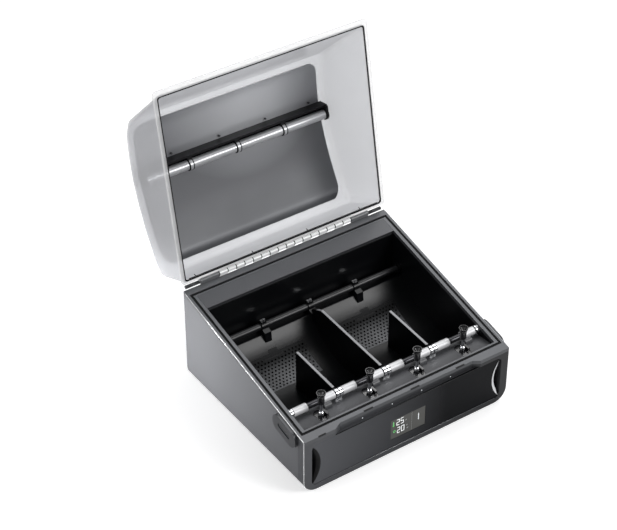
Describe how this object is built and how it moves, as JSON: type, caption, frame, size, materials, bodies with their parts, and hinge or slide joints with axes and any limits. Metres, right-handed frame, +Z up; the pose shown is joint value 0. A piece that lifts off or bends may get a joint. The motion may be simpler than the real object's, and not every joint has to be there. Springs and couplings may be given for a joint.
{
  "type": "filament dryer box",
  "caption": "Wide low box with a sloping rim, curved roller bays for filament spools and a domed clear lid hinged open at the back.",
  "frame": {"origin": "centre of the footprint on the resting plane under the feet", "axes": "+X to the right seen from the front, +Y to the back, +Z up"},
  "size_m": [0.376, 0.473, 0.4783],
  "materials": {
    "casing_grey": "satin",
    "bezel_plastic": "satin",
    "panel_gloss": "gloss",
    "display_glass": "gloss",
    "circuit_board": "matte",
    "light_pipe": "gloss",
    "rim_grey": "satin",
    "rubber_black": "matte",
    "ledge_grey": "satin",
    "liner_black": "satin",
    "deck_grey": "satin",
    "grille_grey": "satin",
    "heater_ceramic": "satin",
    "fan_plastic": "matte",
    "bright_chrome": "polished",
    "shaft_black": "satin",
    "sleeve_silver": "satin",
    "rod_black": "gloss",
    "feeder_black": "gloss",
    "supply_metal": "satin",
    "hinge_dark": "satin",
    "hinge_bright": "satin",
    "lid_clear": "gloss",
    "roof_smoke": "gloss",
    "rail_black": "satin",
    "lid_roller_grey": "satin",
    "button_black": "satin"
  },
  "bodies": {
    "base": {"outer_casing": "casing_grey", "front_bezel": "bezel_plastic", "front_panel": "panel_gloss", "display_window": "display_glass", "display_board": "circuit_board", "status_lights": "light_pipe", "rim_frame": "rim_grey", "rim_gasket": "rubber_black", "rear_ledge": "ledge_grey", "inner_tub": "liner_black", "front_deck": "deck_grey", "grille_left": "grille_grey", "grille_right": "grille_grey", "heater_left": "heater_ceramic", "heater_right": "heater_ceramic", "fan_frame_left": "fan_plastic", "fan_frame_right": "fan_plastic", "divider_centre": "liner_black", "divider_left": "liner_black", "divider_right": "liner_black", "roller_bearings": "bright_chrome", "drive_housings": "deck_grey", "rod_brackets": "liner_black", "rod_end_caps": "liner_black", "clamp_screws": "bright_chrome", "feed_funnels": "feeder_black", "feed_tubes": "bright_chrome", "feed_couplings": "bright_chrome", "feed_blocks": "feeder_black", "power_supply": "supply_metal", "mainboard": "circuit_board", "power_inlet": "feeder_black", "outlet_ports": "feeder_black", "hinge_base_leaf": "hinge_dark", "hinge_pin": "hinge_bright", "latch_plates": "bezel_plastic", "feet": "rubber_black"},
    "lid": {"lid_rim": "lid_clear", "lid_seal": "rubber_black", "lid_shell": "lid_clear", "lid_roof_panel": "roof_smoke", "lid_roller_rail": "rail_black", "hinge_lid_leaf": "hinge_bright"},
    "drive_roller_1": {"roller_shaft_1": "shaft_black", "roller_sleeves_1": "sleeve_silver"},
    "drive_roller_2": {"roller_shaft_2": "shaft_black", "roller_sleeves_2": "sleeve_silver"},
    "drive_roller_3": {"roller_shaft_3": "shaft_black", "roller_sleeves_3": "sleeve_silver"},
    "drive_roller_4": {"roller_shaft_4": "shaft_black", "roller_sleeves_4": "sleeve_silver"},
    "back_rod": {"rear_rod": "rod_black"},
    "idler_roller_1": {"lid_roller_1": "lid_roller_grey"},
    "idler_roller_2": {"lid_roller_2": "lid_roller_grey"},
    "idler_roller_3": {"lid_roller_3": "lid_roller_grey"},
    "idler_roller_4": {"lid_roller_4": "lid_roller_grey"},
    "fan_left": {"fan_rotor_left": "fan_plastic"},
    "fan_right": {"fan_rotor_right": "fan_plastic"},
    "side_button_left": {"latch_button_left": "button_black"},
    "side_button_right": {"latch_button_right": "button_black"}
  },
  "joints": [
    {"name": "lid_hinge", "type": "hinge", "parent": "base", "child": "lid", "pos_m": [0, 0.1583, 0.171], "axis": [1, 0, 0], "range_deg": [0, 113]},
    {"name": "drive_roller_1_spin", "type": "hinge", "parent": "base", "child": "drive_roller_1", "pos_m": [-0.1269, -0.0965, 0.101], "axis": [1, 0, 0], "continuous": true},
    {"name": "drive_roller_2_spin", "type": "hinge", "parent": "base", "child": "drive_roller_2", "pos_m": [-0.0423, -0.0965, 0.101], "axis": [1, 0, 0], "continuous": true},
    {"name": "drive_roller_3_spin", "type": "hinge", "parent": "base", "child": "drive_roller_3", "pos_m": [0.0423, -0.0965, 0.101], "axis": [1, 0, 0], "continuous": true},
    {"name": "drive_roller_4_spin", "type": "hinge", "parent": "base", "child": "drive_roller_4", "pos_m": [0.1269, -0.0965, 0.101], "axis": [1, 0, 0], "continuous": true},
    {"name": "back_rod_spin", "type": "hinge", "parent": "base", "child": "back_rod", "pos_m": [0, 0.096, 0.0965], "axis": [1, 0, 0], "continuous": true},
    {"name": "idler_roller_1_spin", "type": "hinge", "parent": "lid", "child": "idler_roller_1", "pos_m": [-0.1269, 0.28858, 0.27981], "axis": [1, 0, 0], "continuous": true},
    {"name": "idler_roller_2_spin", "type": "hinge", "parent": "lid", "child": "idler_roller_2", "pos_m": [-0.0423, 0.28858, 0.27981], "axis": [1, 0, 0], "continuous": true},
    {"name": "idler_roller_3_spin", "type": "hinge", "parent": "lid", "child": "idler_roller_3", "pos_m": [0.0423, 0.28858, 0.27981], "axis": [1, 0, 0], "continuous": true},
    {"name": "idler_roller_4_spin", "type": "hinge", "parent": "lid", "child": "idler_roller_4", "pos_m": [0.1269, 0.28858, 0.27981], "axis": [1, 0, 0], "continuous": true},
    {"name": "fan_left_spin", "type": "hinge", "parent": "base", "child": "fan_left", "pos_m": [-0.0846, 0.1396, 0.062], "axis": [0, 1, 0], "continuous": true},
    {"name": "fan_right_spin", "type": "hinge", "parent": "base", "child": "fan_right", "pos_m": [0.0846, 0.1396, 0.062], "axis": [0, 1, 0], "continuous": true},
    {"name": "side_button_left_press", "type": "slide", "parent": "base", "child": "side_button_left", "axis": [1, 0, 0], "range_m": [0, 0.0015], "stiffness_N_per_m": 300, "springref_m": -0.002},
    {"name": "side_button_right_press", "type": "slide", "parent": "base", "child": "side_button_right", "axis": [-1, 0, 0], "range_m": [0, 0.0015], "stiffness_N_per_m": 300, "springref_m": -0.002}
  ]
}
